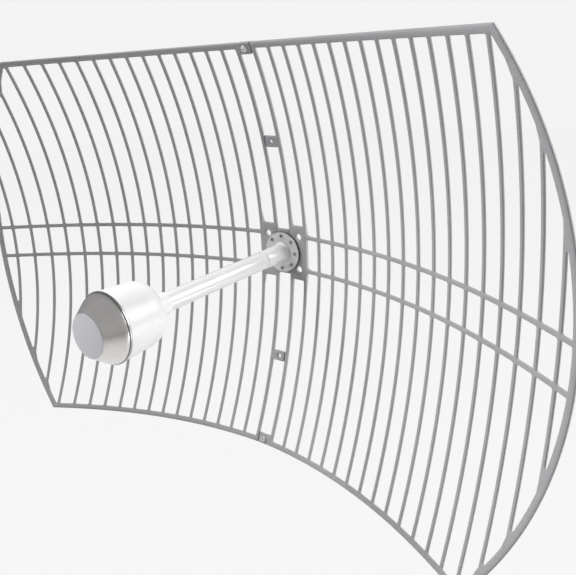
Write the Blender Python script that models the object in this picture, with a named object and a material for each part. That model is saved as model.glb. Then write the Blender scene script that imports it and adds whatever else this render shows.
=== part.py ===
# Grid parabolic antenna: a die-cast reflector in two halves, with a feed on its axis.
# Metres, +Z up. The reflector looks towards -Y. The origin is on the flat back of the hub,
# where a mast bracket would seat.
import math

import bmesh
import bpy
from mathutils import Matrix, Vector
from mathutils.geometry import delaunay_2d_cdt

# Clearance between pieces that touch on the real antenna
GAP = 0.0003

# Reflector surface: a paraboloid, with each half leaning forward a little from the joint line
FOCAL_LENGTH = 0.313
CREASE_SLOPE = 0.0272
VERTEX_Y = -0.0032

# Reflector outline: straight top and bottom, ends on an arc
HALF_HEIGHT = 0.300
HALF_WIDTH = 0.484
END_ARC_RADIUS = 0.520
RIM_WIDTH = 0.0090
SIDE_RIM_WIDTH = 0.0086
LIP_WIDTH = 0.0040
LIP_DEPTH = 0.0052
EDGE_DROP = 0.0015

# Bars and cross ribs
BARS_PER_HALF = 18
BAR_PITCH = 0.0262
CENTRE_GAP = 0.0277
BAR_WIDTH = 0.0050
BAR_DEPTH = 0.0028
INNER_BAR_WIDTH = 0.0052
INNER_BAR_DEPTH = 0.0035
RIB_OFFSET = 0.0255
RIB_WIDTH = 0.0058
BAR_STEP = 0.050
ARC_STEP = 0.030
PAD_STEP = 0.008
PAD_ROWS = (-0.036, -0.014, 0.0, 0.014, 0.036)

# Hub: a pad with a flat back on each half, and a plate that bridges them
PAD_HALF_HEIGHT = 0.0410
BRIDGE_FRONT_Y = -0.0048
MAST_HOLE_X = 0.0283
MAST_HOLE_Z = 0.0250
MAST_HOLE_RADIUS = 0.0048
BRIDGE_HALF_HEIGHT = 0.0340
BRIDGE_STEP_Z = -0.0070
BRIDGE_STEP_DEPTH = 0.0012

# Tabs that lap over each other in the centre gap: height, and which half lies in front
TAB_REACH = 0.0095
TAB_FRONT_DEPTH = 0.0022
TAB_BACK_DEPTH = 0.0046
RIM_TAB_HEIGHT = 0.0160
LUG_HEIGHT = 0.0150
LUG_Z = 0.1645
LUG_HOLE_RADIUS = 0.0029
RIM_BOLT_Z = HALF_HEIGHT - RIM_TAB_HEIGHT / 2
RIM_BOLT_HOLE_RADIUS = 0.0031
RIM_BOLT_RADIUS = 0.0025
RIM_BOLT_HEAD_RADIUS = 0.0046
RIM_BOLT_HEAD_CROWN = 0.0037
RIM_BOLT_HEAD_HEIGHT = 0.0030
RIM_BOLT_HEAD_SIDE = 0.0018
RIM_BOLT_END = 0.0052
RIM_NUT_RADIUS = 0.0046
RIM_NUT_HEIGHT = 0.0040

# Feed: it droops a little under the weight of its head
FEED_DROOP = 0.029
FEED_Z = -0.0007
FLANGE_RADIUS = 0.0303
FLANGE_THICKNESS = 0.0024
GASKET_RADIUS = 0.0307
GASKET_THICKNESS = 0.0015
SCREW_COUNT = 8
SCREW_CIRCLE_RADIUS = 0.0248
SCREW_HEAD_RADIUS = 0.0026
SCREW_HEAD_CROWN = 0.0020
SCREW_HEAD_HEIGHT = 0.0011
SCREW_SHANK_RADIUS = 0.0013
SCREW_HOLE_RADIUS = 0.0018
COLLAR_RADIUS = 0.0136
COLLAR_BASE_RADIUS = 0.0155
COLLAR_BASE_LENGTH = 0.0015
COLLAR_WELD_RADIUS = 0.0141
COLLAR_WELD_LENGTH = 0.0035
COLLAR_TAPER_LENGTH = 0.006
COLLAR_END_Y = -0.055
TUBE_RADIUS = 0.0132
TUBE_END_Y = -0.2535
SHOULDER_NECK_RADIUS = 0.0148
SHOULDER_NECK_LENGTH = 0.0265
SHOULDER_FOOT_RADIUS = 0.0166
SHOULDER_END_Y = -0.312
SHOULDER_RADIUS = 0.0439
SHOULDER_FULLNESS = 2.9
BODY_END_Y = -0.350
BODY_RADIUS = 0.0462
HEAD_RIM_RADIUS = 0.0468
HEAD_RIM_THICKNESS = 0.0028
CAP_RADIUS = 0.0455
CAP_SIDE_RADIUS = 0.0445
CAP_SIDE_LENGTH = 0.004
CAP_EDGE_RADIUS = 0.0312
CAP_EDGE_LENGTH = 0.003
CAP_END_RADIUS = 0.0290
FEED_END_Y = -0.3816
END_DISC_RADIUS = 0.0275
END_DISC_THICKNESS = 0.0010

# Inlet on the back of the hub
INLET_Z = -0.0205
INLET_NUT_RADIUS = 0.0115
INLET_NUT_THICKNESS = 0.0030
INLET_BARREL_RADIUS = 0.0078
INLET_LENGTH = 0.0190
INLET_BORE_RADIUS = 0.0056
INLET_BORE_DEPTH = 0.009

INNER_EDGE_X = CENTRE_GAP / 2 - INNER_BAR_WIDTH / 2
INNER_LINE_X = CENTRE_GAP / 2 + INNER_BAR_WIDTH / 2
ARC_CENTRE_X = HALF_WIDTH - END_ARC_RADIUS
FLANGE_BACK_Y = BRIDGE_FRONT_Y - GAP - GASKET_THICKNESS - GAP
FLANGE_FRONT_Y = FLANGE_BACK_Y - FLANGE_THICKNESS


def clear_scene():
    for thing in list(bpy.data.objects):
        bpy.data.objects.remove(thing, do_unlink=True)


def make_material(name, color, roughness, metallic):
    material = bpy.data.materials.new(name)
    material.use_nodes = True
    shader = material.node_tree.nodes["Principled BSDF"]
    shader.inputs["Base Color"].default_value = (*color, 1.0)
    shader.inputs["Roughness"].default_value = roughness
    shader.inputs["Metallic"].default_value = metallic
    return material


def finish_object(name, mesh_data, material, smooth_angle=None):
    """Turn a bmesh into an object of one closed body, with its faces pointing out."""
    mesh = bpy.data.meshes.new(name)
    bmesh.ops.recalc_face_normals(mesh_data, faces=mesh_data.faces)
    mesh_data.to_mesh(mesh)
    mesh_data.free()
    if smooth_angle is not None:
        mesh.shade_smooth()
        mesh.set_sharp_from_angle(angle=smooth_angle)
    mesh.materials.append(material)
    thing = bpy.data.objects.new(name, mesh)
    bpy.context.scene.collection.objects.link(thing)
    return thing


# Reflector surface

def surface_point(x, z):
    """The front of the reflector at x, z. It is level in x across the centre gap."""
    lean = CREASE_SLOPE * max(abs(x), INNER_EDGE_X)
    return Vector((x, VERTEX_Y - (x * x + z * z) / (4 * FOCAL_LENGTH) - lean, z))


def surface_back(x, z):
    """The direction straight through the reflector, from front to back."""
    slope_x = x / (2 * FOCAL_LENGTH)
    if abs(x) > INNER_EDGE_X + 1e-6:
        slope_x += math.copysign(CREASE_SLOPE, x)
    return Vector((slope_x, 1.0, z / (2 * FOCAL_LENGTH))).normalized()


def bar_x(number):
    return CENTRE_GAP / 2 + (number - 1) * BAR_PITCH


def bar_half_width(number):
    """Half of a bar's width along X, which is foreshortened where the surface slopes."""
    if number == 1:
        return INNER_BAR_WIDTH / 2
    slope = bar_x(number) / (2 * FOCAL_LENGTH) + CREASE_SLOPE
    return BAR_WIDTH / 2 / math.hypot(1, slope)


def arc_x(z, inset=0.0):
    """X of the end arc at a height, moved in by an inset."""
    return ARC_CENTRE_X + math.sqrt((END_ARC_RADIUS - inset) ** 2 - z * z)


def arc_z(x, inset=0.0):
    """Height at which the end arc, moved in by an inset, crosses x."""
    reach = (END_ARC_RADIUS - inset) ** 2 - (x - ARC_CENTRE_X) ** 2
    return math.sqrt(max(reach, 0.0))


def pad_outer_x():
    return bar_x(2) + bar_half_width(2)


def steps_between(low, high, step):
    count = max(1, round((high - low) / step))
    return [low + (high - low) * i / count for i in range(count + 1)]


def circle_points(x, z, radius, sides):
    turns = [2 * math.pi * (i + 0.5) / sides for i in range(sides)]
    return [(x + radius * math.cos(t), z + radius * math.sin(t)) for t in turns]


def window_points(left, right, low, high):
    """One window between two bars, cut off by the end rim where it meets it."""
    top = min(high, arc_z(left, SIDE_RIM_WIDTH)) if high > 0 else high
    bottom = max(low, -arc_z(left, SIDE_RIM_WIDTH)) if low < 0 else low
    if top - bottom < 0.008:
        return []
    heights = steps_between(bottom, top, BAR_STEP)
    bend = arc_z(right, SIDE_RIM_WIDTH)
    for corner in (-bend, bend):
        if bottom < corner < top:
            heights.append(corner)
    heights = sorted(heights)
    kept = [heights[0]]
    for height in heights[1:]:
        if height - kept[-1] > 0.004:
            kept.append(height)
    kept[-1] = top
    rising = [(min(right, arc_x(z, SIDE_RIM_WIDTH)), z) for z in kept]
    falling = [(left, z) for z in reversed(kept)]
    loop = []
    for point in rising + falling:
        if not loop or math.dist(point, loop[-1]) > 0.0008:
            loop.append(point)
    if math.dist(loop[0], loop[-1]) < 0.0008:
        loop.pop()
    return loop


def half_windows():
    """All the windows of one half, as loops in x, z with x counted from the centre line."""
    rib_top = RIB_OFFSET + RIB_WIDTH / 2
    rib_low = RIB_OFFSET - RIB_WIDTH / 2
    rim = HALF_HEIGHT - RIM_WIDTH
    loops = []
    for number in range(1, BARS_PER_HALF + 1):
        left = bar_x(number) + bar_half_width(number)
        right = arc_x(0.0, SIDE_RIM_WIDTH)
        if number < BARS_PER_HALF:
            right = bar_x(number + 1) - bar_half_width(number + 1)
        if number == 1:
            rows = [(PAD_HALF_HEIGHT, rim), (-rim, -PAD_HALF_HEIGHT)]
        else:
            rows = [(rib_top, rim), (-rib_low, rib_low), (-rim, -rib_top)]
        for low, high in rows:
            loop = window_points(left, right, low, high)
            if loop:
                loops.append(loop)
    return loops


def tab_rows(front_rows):
    """The four tabs of one half: lowest and highest z, and whether it lies in front."""
    spans = {
        "top": (HALF_HEIGHT - RIM_TAB_HEIGHT, HALF_HEIGHT),
        "upper": (LUG_Z - LUG_HEIGHT / 2, LUG_Z + LUG_HEIGHT / 2),
        "lower": (-LUG_Z - LUG_HEIGHT / 2, -LUG_Z + LUG_HEIGHT / 2),
        "bottom": (-HALF_HEIGHT, -HALF_HEIGHT + RIM_TAB_HEIGHT),
    }
    return [(low, high, name in front_rows) for name, (low, high) in spans.items()]


def rim_stations():
    """X of each side of each bar along the straight rims, up to the corner."""
    sides = [bar_x(n) + s * bar_half_width(n) for n in range(2, BARS_PER_HALF + 1) for s in (-1, 1)]
    corner = arc_x(HALF_HEIGHT)
    return [INNER_EDGE_X, INNER_LINE_X] + [x for x in sides if x < corner - 0.004]


def half_outline(tabs):
    """The outline of one half with its tabs, going round it from its inner bottom corner."""
    across = rim_stations()
    points = [(x, -HALF_HEIGHT) for x in across]
    points += [(arc_x(z), z) for z in steps_between(-HALF_HEIGHT, HALF_HEIGHT, ARC_STEP)]
    points += [(x, HALF_HEIGHT) for x in reversed(across)]
    for low, high, _ in sorted(tabs, reverse=True):
        points += [(INNER_EDGE_X, high), (-TAB_REACH, high), (-TAB_REACH, low), (INNER_EDGE_X, low)]
    return divide_loop(points, BAR_STEP)


def divide_loop(points, step):
    """Drop doubled points and cut long straight edges into steps."""
    loop = []
    for here, there in zip(points, points[1:] + points[:1]):
        length = math.dist(here, there)
        if length < 1e-5:
            continue
        count = max(1, math.ceil(length / step - 0.01))
        for i in range(count):
            loop.append(tuple(a + (b - a) * i / count for a, b in zip(here, there)))
    return loop


def half_guides():
    """Lines where the depth changes, at the lip, the inner bar and the pad, and rows on the pad."""
    edge = HALF_HEIGHT - LIP_WIDTH
    across = rim_stations()
    lip = [(x, -edge) for x in across]
    lip += [(arc_x(z, LIP_WIDTH), z) for z in steps_between(-edge, edge, ARC_STEP)]
    lip += [(x, edge) for x in reversed(across)]
    inner = [(INNER_LINE_X, -edge), (INNER_LINE_X, edge)]
    joint = [(INNER_EDGE_X, -HALF_HEIGHT), (INNER_EDGE_X, HALF_HEIGHT)]
    outer = pad_outer_x()
    pad = [(INNER_EDGE_X, -PAD_HALF_HEIGHT), (outer, -PAD_HALF_HEIGHT),
           (outer, PAD_HALF_HEIGHT), (INNER_EDGE_X, PAD_HALF_HEIGHT)]
    across_pad = steps_between(INNER_EDGE_X, outer, PAD_STEP)
    rows = [[(x, z) for x in across_pad] for z in PAD_ROWS]
    return [lip, inner, joint, pad] + rows


def half_region(x, z, tabs):
    """The kind of casting at x, z."""
    if x < INNER_EDGE_X:
        for low, high, is_front in tabs:
            if low <= z <= high:
                return "front_tab" if is_front else "back_tab"
    if abs(z) < PAD_HALF_HEIGHT and x < pad_outer_x():
        return "pad"
    if abs(z) > HALF_HEIGHT - LIP_WIDTH or x > arc_x(z, LIP_WIDTH):
        return "lip"
    return "inner" if x < INNER_LINE_X else "bar"


HALF_SPANS = {
    "bar": (0.0, BAR_DEPTH),
    "inner": (0.0, INNER_BAR_DEPTH),
    "lip": (0.0, LIP_DEPTH),
    "front_tab": (0.0, TAB_FRONT_DEPTH),
    "back_tab": (TAB_FRONT_DEPTH + GAP, TAB_BACK_DEPTH),
    "pad": (0.0, "pad_back"),
}


def edge_drop(x, z):
    """How far the front of the rim slopes back towards its outer edge."""
    if x < INNER_EDGE_X:
        return 0.0
    inside = min(HALF_HEIGHT - abs(z), END_ARC_RADIUS - math.hypot(x - ARC_CENTRE_X, z))
    return EDGE_DROP * max(0.0, 1.0 - inside / LIP_WIDTH)


def half_level(level, x, z):
    """A point of the casting at x, z: a depth behind the front surface, or the pad's flat back."""
    if level == "pad_back":
        return Vector((x, 0.0, z))
    point = surface_point(x, z)
    if level == 0.0:
        return point + Vector((0, edge_drop(x, z), 0))
    if level == LIP_DEPTH:
        return point + Vector((0, LIP_DEPTH, 0))
    return point + surface_back(x, z) * level


# Plates: any outline with holes, whose depth may change from region to region

def inside_loop(x, z, loop):
    found = False
    for (x1, z1), (x2, z2) in zip(loop, loop[1:] + loop[:1]):
        if (z1 > z) != (z2 > z) and x < (x2 - x1) * (z - z1) / (z2 - z1) + x1:
            found = not found
    return found


def triangulate(outline, holes, guides):
    """Points and triangles in x, z between an outline and its holes, kept to the guide lines."""
    points, edges = [], []
    for line, closed in [(outline, True)] + [(h, True) for h in holes] + [(g, False) for g in guides]:
        start = len(points)
        points += [Vector(p) for p in line]
        edges += [(start + i, start + i + 1) for i in range(len(line) - 1)]
        if closed:
            edges.append((start + len(line) - 1, start))
    found = delaunay_2d_cdt(points, edges, [], 0, 1e-6)
    corners = [(p.x, p.y) for p in found[0]]
    boxes = [(min(x for x, _ in h), max(x for x, _ in h), h) for h in holes]
    triangles = []
    for face in found[2]:
        x = sum(corners[i][0] for i in face) / 3
        z = sum(corners[i][1] for i in face) / 3
        in_hole = any(low < x < high and inside_loop(x, z, hole) for low, high, hole in boxes)
        if not in_hole and inside_loop(x, z, outline):
            triangles.append((tuple(face), x, z))
    return corners, triangles


def plate(outline, holes, guides, region_at, spans, level_at):
    """A closed plate. Each region runs from its front level to its back level."""
    corners, triangles = triangulate(outline, holes, guides)
    regions = [region_at(x, z) for _, x, z in triangles]
    levels = {}
    for (face, _, _), region in zip(triangles, regions):
        for corner in face:
            levels.setdefault(corner, set()).update(spans[region])
    mesh = bmesh.new()
    stacks = {}
    for corner, found in levels.items():
        placed = [(level_at(level, *corners[corner]), level) for level in found]
        placed.sort(key=lambda item: item[0].y)
        stacks[corner] = [(level, mesh.verts.new(point)) for point, level in placed]

    def vert(corner, level):
        return next(v for name, v in stacks[corner] if name == level)

    def run(corner, first, last):
        names = [name for name, _ in stacks[corner]]
        return [v for _, v in stacks[corner][names.index(first):names.index(last) + 1]]

    sides = {}
    for (face, _, _), region in zip(triangles, regions):
        front, back = spans[region]
        mesh.faces.new([vert(c, front) for c in face])
        mesh.faces.new([vert(c, back) for c in reversed(face)])
        for a, b in zip(face, face[1:] + face[:1]):
            sides.setdefault(frozenset((a, b)), []).append(region)
    for (a, b), found in ((tuple(edge), names) for edge, names in sides.items()):
        if len(found) == 2 and found[0] == found[1]:
            continue
        wanted = {level for name in found for level in spans[name]}
        order = [name for name, _ in stacks[a] if name in wanted]
        for first, last in zip(order, order[1:]):
            filled = 0
            for name in found:
                front, back = spans[name]
                filled += order.index(front) <= order.index(first) < order.index(back)
            if filled == 1:
                mesh.faces.new(run(a, first, last) + run(b, first, last)[::-1])
    bmesh.ops.triangulate(mesh, faces=mesh.faces)
    return mesh


def flat_plate(outline, holes, front_y, back_y):
    """A plate between two planes across Y."""
    spans = {"plate": ("front", "back")}
    planes = {"front": front_y, "back": back_y}
    return plate(outline, holes, [], lambda x, z: "plate", spans,
                 lambda level, x, z: Vector((x, planes[level], z)))


def reflector_half(name, side, front_rows, material):
    """One die-cast half: bars, ribs, rims, pad and tabs in one piece. side is -1 or 1."""
    tabs = tab_rows(front_rows)
    holes = half_windows()
    for z in (-MAST_HOLE_Z, MAST_HOLE_Z):
        holes.append(circle_points(MAST_HOLE_X, z, MAST_HOLE_RADIUS, 14))
    for z in (-LUG_Z, LUG_Z):
        holes.append(circle_points(0.0, z, LUG_HOLE_RADIUS, 10))
    for z in (-RIM_BOLT_Z, RIM_BOLT_Z):
        holes.append(circle_points(0.0, z, RIM_BOLT_HOLE_RADIUS, 12))
    mesh = plate(half_outline(tabs), holes, half_guides(),
                 lambda x, z: half_region(x, z, tabs), HALF_SPANS, half_level)
    if side < 0:
        bmesh.ops.scale(mesh, vec=(-1, 1, 1), verts=mesh.verts)
    return finish_object(name, mesh, material)


# Turned pieces

def axis_z(y):
    """Height of the feed's axis, which drops with its distance in front of the flange."""
    return FEED_Z + FEED_DROOP * min(0.0, y - FLANGE_FRONT_Y)


def turned(profile, sides, centre_z=None):
    """A body turned about Y from (y, radius) points. A radius of zero closes an end to a point."""
    mesh = bmesh.new()
    rings = []
    for y, radius in profile:
        z0 = axis_z(y) if centre_z is None else centre_z
        if radius == 0:
            rings.append([mesh.verts.new((0, y, z0))])
            continue
        turns = [2 * math.pi * i / sides for i in range(sides)]
        rings.append([mesh.verts.new((radius * math.cos(t), y, z0 + radius * math.sin(t))) for t in turns])
    for near, far in zip(rings, rings[1:]):
        for i in range(sides):
            j = (i + 1) % sides
            corners = [near[i % len(near)], near[j % len(near)], far[j % len(far)], far[i % len(far)]]
            mesh.faces.new(list(dict.fromkeys(corners)))
    for ring in (rings[0], rings[-1]):
        if len(ring) > 1:
            mesh.faces.new(ring)
    return mesh


def shoulder_profile(y0, r0, y1, r1, fullness, steps):
    """Points of a quarter curve that leaves (y0, r0) outwards and reaches (y1, r1) along the axis.

    A fullness of 2 gives a quarter ellipse, and a higher one a squarer corner.
    """
    points = []
    for i in range(steps + 1):
        turn = math.pi / 2 * i / steps
        along = 1 - max(0.0, math.cos(turn)) ** (2 / fullness)
        out = math.sin(turn) ** (2 / fullness)
        points.append((y0 + (y1 - y0) * along, r0 + (r1 - r0) * out))
    return points


def place_on_surface(mesh, z):
    """Stand a piece turned about Y through the reflector's surface on the centre line."""
    back = surface_back(0.0, z)
    turn = Vector((0, 1, 0)).rotation_difference(back).to_matrix().to_4x4()
    bmesh.ops.transform(mesh, matrix=Matrix.Translation(surface_point(0.0, z)) @ turn, verts=mesh.verts)


def bolt_and_nut(place, z, material):
    """A bolt through the two lapped rim tabs, and its nut behind them."""
    under_head = -GAP
    head = [(under_head - RIM_BOLT_HEAD_HEIGHT, RIM_BOLT_HEAD_CROWN),
            (under_head - RIM_BOLT_HEAD_SIDE, RIM_BOLT_HEAD_RADIUS),
            (under_head, RIM_BOLT_HEAD_RADIUS)]
    shank = [(under_head, RIM_BOLT_RADIUS), (TAB_BACK_DEPTH + RIM_BOLT_END, RIM_BOLT_RADIUS)]
    bolt = turned(head + shank, 12, centre_z=0.0)
    place_on_surface(bolt, z)
    finish_object("rim_bolt_" + place, bolt, material, math.radians(40))
    outline = circle_points(0.0, 0.0, RIM_NUT_RADIUS, 6)
    hole = circle_points(0.0, 0.0, RIM_BOLT_RADIUS + GAP, 12)
    seat = TAB_BACK_DEPTH + GAP
    nut = flat_plate(outline, [hole], seat, seat + RIM_NUT_HEIGHT)
    place_on_surface(nut, z)
    finish_object("rim_nut_" + place, nut, material)


# Hub and feed

def make_bridge(material):
    """The plate between the two pads. Its lower back steps in to seat the inlet."""
    half_width = INNER_EDGE_X - GAP
    heights = [-BRIDGE_HALF_HEIGHT, BRIDGE_STEP_Z, BRIDGE_HALF_HEIGHT]
    outline = [(half_width, z) for z in heights] + [(-half_width, z) for z in reversed(heights)]
    step = [(-half_width, BRIDGE_STEP_Z), (half_width, BRIDGE_STEP_Z)]
    planes = {"front": BRIDGE_FRONT_Y, "seat": 0.0, "step": -BRIDGE_STEP_DEPTH}
    spans = {"upper": ("front", "seat"), "lower": ("front", "step")}
    mesh = plate(outline, [], [step], lambda x, z: "upper" if z > BRIDGE_STEP_Z else "lower", spans,
                 lambda level, x, z: Vector((x, planes[level], z)))
    finish_object("hub_bridge_plate", mesh, material)


def screw_places():
    turns = [2 * math.pi * i / SCREW_COUNT for i in range(SCREW_COUNT)]
    return [(SCREW_CIRCLE_RADIUS * math.cos(t), FEED_Z + SCREW_CIRCLE_RADIUS * math.sin(t)) for t in turns]


def make_flange(metal, gasket, dark):
    holes = [circle_points(x, z, SCREW_HOLE_RADIUS, 8) for x, z in screw_places()]
    gasket_back = BRIDGE_FRONT_Y - GAP
    gasket_edge = circle_points(0, FEED_Z, GASKET_RADIUS, 48)
    ring = flat_plate(gasket_edge, holes, gasket_back - GASKET_THICKNESS, gasket_back)
    finish_object("flange_gasket", ring, gasket)
    flange_edge = circle_points(0, FEED_Z, FLANGE_RADIUS, 48)
    disc = flat_plate(flange_edge, holes, FLANGE_FRONT_Y, FLANGE_BACK_Y)
    finish_object("feed_flange", disc, metal)
    for number, (x, z) in enumerate(screw_places(), 1):
        under_head = FLANGE_FRONT_Y - GAP
        profile = [(under_head - SCREW_HEAD_HEIGHT, SCREW_HEAD_CROWN),
                   (under_head, SCREW_HEAD_RADIUS), (under_head, SCREW_SHANK_RADIUS),
                   (gasket_back, SCREW_SHANK_RADIUS)]
        screw = turned(profile, 10, centre_z=0.0)
        bmesh.ops.translate(screw, vec=(x, 0, z), verts=screw.verts)
        finish_object("flange_screw_%d" % number, screw, dark, math.radians(40))


def make_feed(metal, white, grey, end_grey):
    smooth = math.radians(35)
    collar_back = FLANGE_FRONT_Y - GAP
    collar = [(collar_back, COLLAR_BASE_RADIUS),
              (collar_back - COLLAR_BASE_LENGTH, COLLAR_BASE_RADIUS),
              (collar_back - COLLAR_WELD_LENGTH, COLLAR_WELD_RADIUS),
              (collar_back - COLLAR_TAPER_LENGTH, COLLAR_RADIUS),
              (COLLAR_END_Y, COLLAR_RADIUS)]
    finish_object("feed_collar", turned(collar, 32), metal, smooth)
    tube = [(COLLAR_END_Y - GAP, TUBE_RADIUS), (TUBE_END_Y, TUBE_RADIUS)]
    finish_object("feed_tube", turned(tube, 32), metal, smooth)
    shoulder = [(TUBE_END_Y - GAP, SHOULDER_NECK_RADIUS)]
    shoulder += shoulder_profile(TUBE_END_Y - SHOULDER_NECK_LENGTH, SHOULDER_FOOT_RADIUS,
                                 SHOULDER_END_Y, SHOULDER_RADIUS, SHOULDER_FULLNESS, 8)
    finish_object("feed_head_shoulder", turned(shoulder, 40), white, smooth)
    body = [(SHOULDER_END_Y - GAP, SHOULDER_RADIUS), (BODY_END_Y, BODY_RADIUS)]
    finish_object("feed_head_body", turned(body, 40), white, smooth)
    rim_front = BODY_END_Y - GAP - HEAD_RIM_THICKNESS
    rim = [(BODY_END_Y - GAP, HEAD_RIM_RADIUS), (rim_front, HEAD_RIM_RADIUS)]
    finish_object("feed_head_rim", turned(rim, 40), grey, smooth)
    cap_start = rim_front - GAP
    cap_end = FEED_END_Y + END_DISC_THICKNESS + GAP
    cap = [(cap_start, CAP_RADIUS), (cap_start - CAP_SIDE_LENGTH, CAP_SIDE_RADIUS),
           (cap_end + CAP_EDGE_LENGTH, CAP_EDGE_RADIUS), (cap_end, CAP_END_RADIUS)]
    finish_object("feed_head_cap", turned(cap, 40), grey, smooth)
    disc = [(cap_end - GAP, END_DISC_RADIUS), (FEED_END_Y, END_DISC_RADIUS)]
    finish_object("feed_end_disc", turned(disc, 40), end_grey, smooth)


def make_inlet(metal):
    nut = circle_points(0.0, INLET_Z, INLET_NUT_RADIUS, 6)
    barrel_hole = circle_points(0.0, INLET_Z, INLET_BARREL_RADIUS + 2 * GAP, 24)
    seat = GAP - BRIDGE_STEP_DEPTH
    finish_object("inlet_nut", flat_plate(nut, [barrel_hole], seat, seat + INLET_NUT_THICKNESS), metal)
    bore_end = INLET_LENGTH - INLET_BORE_DEPTH
    barrel = [(seat, INLET_BARREL_RADIUS), (INLET_LENGTH, INLET_BARREL_RADIUS),
              (INLET_LENGTH, INLET_BORE_RADIUS), (bore_end, INLET_BORE_RADIUS)]
    finish_object("inlet_connector", turned(barrel, 24, centre_z=INLET_Z), metal, math.radians(40))


def main():
    clear_scene()
    casting = make_material("casting", (0.22, 0.22, 0.225), 0.55, 0.6)
    feed_metal = make_material("feed_metal", (0.66, 0.66, 0.67), 0.35, 0.3)
    gasket = make_material("gasket", (0.03, 0.03, 0.03), 0.8, 0.0)
    screw = make_material("screw", (0.38, 0.37, 0.36), 0.4, 0.8)
    bolt = make_material("bolt", (0.6, 0.6, 0.6), 0.3, 0.9)
    white = make_material("white_plastic", (0.85, 0.85, 0.86), 0.35, 0.0)
    grey = make_material("grey_plastic", (0.5, 0.49, 0.48), 0.2, 0.0)
    end_grey = make_material("end_plastic", (0.52, 0.52, 0.55), 0.4, 0.0)
    reflector_half("reflector_left_half", -1, ("top", "lower"), casting)
    reflector_half("reflector_right_half", 1, ("upper", "bottom"), casting)
    make_bridge(casting)
    make_flange(feed_metal, gasket, screw)
    make_feed(feed_metal, white, grey, end_grey)
    for place, z in (("top", RIM_BOLT_Z), ("bottom", -RIM_BOLT_Z)):
        bolt_and_nut(place, z, bolt)
    make_inlet(bolt)


main()
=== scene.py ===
# %% [markdown]
# Grid parabolic antenna, dressed for the studio
#
# The real object is a dish for a radio link. It is not a closed bowl but a grid of upright
# bars, die-cast in two halves that meet at the middle. A round flange stands on the hub, and
# a tube carries a drum-shaped feed head out to the focus of the dish.
#
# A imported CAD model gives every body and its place. This script loads it as a fixed frame,
# makes a finer piece for each of its solids, paints them, and puts them in a small studio.

# %% Load the frame
import math

import bmesh
import bpy
from mathutils import Matrix, Vector


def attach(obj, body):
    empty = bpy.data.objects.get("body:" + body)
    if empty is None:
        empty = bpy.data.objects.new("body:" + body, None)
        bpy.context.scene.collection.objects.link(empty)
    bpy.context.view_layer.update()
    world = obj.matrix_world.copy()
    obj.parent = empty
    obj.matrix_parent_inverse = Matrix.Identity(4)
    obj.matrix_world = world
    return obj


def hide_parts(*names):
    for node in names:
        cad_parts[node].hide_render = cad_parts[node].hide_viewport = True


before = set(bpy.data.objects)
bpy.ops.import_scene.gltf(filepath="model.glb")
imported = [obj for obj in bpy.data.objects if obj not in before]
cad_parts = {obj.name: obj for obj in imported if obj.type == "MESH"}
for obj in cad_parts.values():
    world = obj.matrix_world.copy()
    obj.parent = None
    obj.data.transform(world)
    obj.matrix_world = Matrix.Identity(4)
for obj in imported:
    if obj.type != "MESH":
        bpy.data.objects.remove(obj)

scene = bpy.context.scene
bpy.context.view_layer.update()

# %% [markdown]
# One way to add nodes
#
# Materials and Geometry Nodes are both trees of nodes joined by wires. Building them in code
# gets long when every node needs its own lines, so two small classes do it here. A Board adds
# any node from its type, its settings and the values of its sockets. A Wire is one output of
# a node, and plain arithmetic on it adds the Math nodes, so a formula reads as a formula.

# %% Board and Wire
def maths(operation, reflected=False):
    """A method of Wire that adds one Math node."""
    def method(self, *others):
        values = (*others, self) if reflected else (self, *others)
        return self.board.node("ShaderNodeMath", {"operation": operation}, dict(enumerate(values)))
    return method


class Wire:
    """One output of a node, which can be used in arithmetic."""
    __add__ = maths("ADD")
    __radd__ = maths("ADD", reflected=True)
    __sub__ = maths("SUBTRACT")
    __rsub__ = maths("SUBTRACT", reflected=True)
    __mul__ = maths("MULTIPLY")
    __rmul__ = maths("MULTIPLY", reflected=True)
    __truediv__ = maths("DIVIDE")
    __rtruediv__ = maths("DIVIDE", reflected=True)
    __gt__ = maths("GREATER_THAN")
    __lt__ = maths("LESS_THAN")
    __abs__ = maths("ABSOLUTE")
    at_least = maths("MAXIMUM")
    at_most = maths("MINIMUM")
    floor = maths("FLOOR")
    root = maths("SQRT")
    cosine = maths("COSINE")
    sine = maths("SINE")

    def __init__(self, board, socket):
        self.board = board
        self.socket = socket

    def __getitem__(self, name):
        outputs = self.socket.node.outputs
        return Wire(self.board, next(s for s in outputs if s.name == name and s.enabled))

    def within(self, low, high):
        return self.at_least(low).at_most(high)

    def whole(self, size):
        """How many whole times a size goes into a counting number."""
        return ((self + 0.5) / size).floor()


class Board:
    """A node tree and the one method that adds nodes to it."""

    def __init__(self, tree):
        self.tree = tree

    def node(self, kind, settings=None, values=None):
        made = self.tree.nodes.new(kind)
        for name, value in (settings or {}).items():
            if name == "entries":
                while len(made.index_switch_items) < value:
                    made.index_switch_items.new()
            else:
                setattr(made, name, value)
        sockets = [s for s in made.inputs if s.enabled]
        for key, value in (values or {}).items():
            socket = sockets[key] if isinstance(key, int) else next(s for s in sockets if s.name == key)
            if isinstance(value, Wire):
                self.tree.links.new(value.socket, socket)
            else:
                socket.default_value = value
        return Wire(self, next((s for s in made.outputs if s.enabled), None))


# %% [markdown]
# Sizes
#
# The CAD model holds the real sizes in metres, and the finer pieces repeat them. The dish is
# a paraboloid that looks towards -Y, and each half also leans forward a little from the joint
# line. Z is up, and the origin is on the flat back of the hub.

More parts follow.
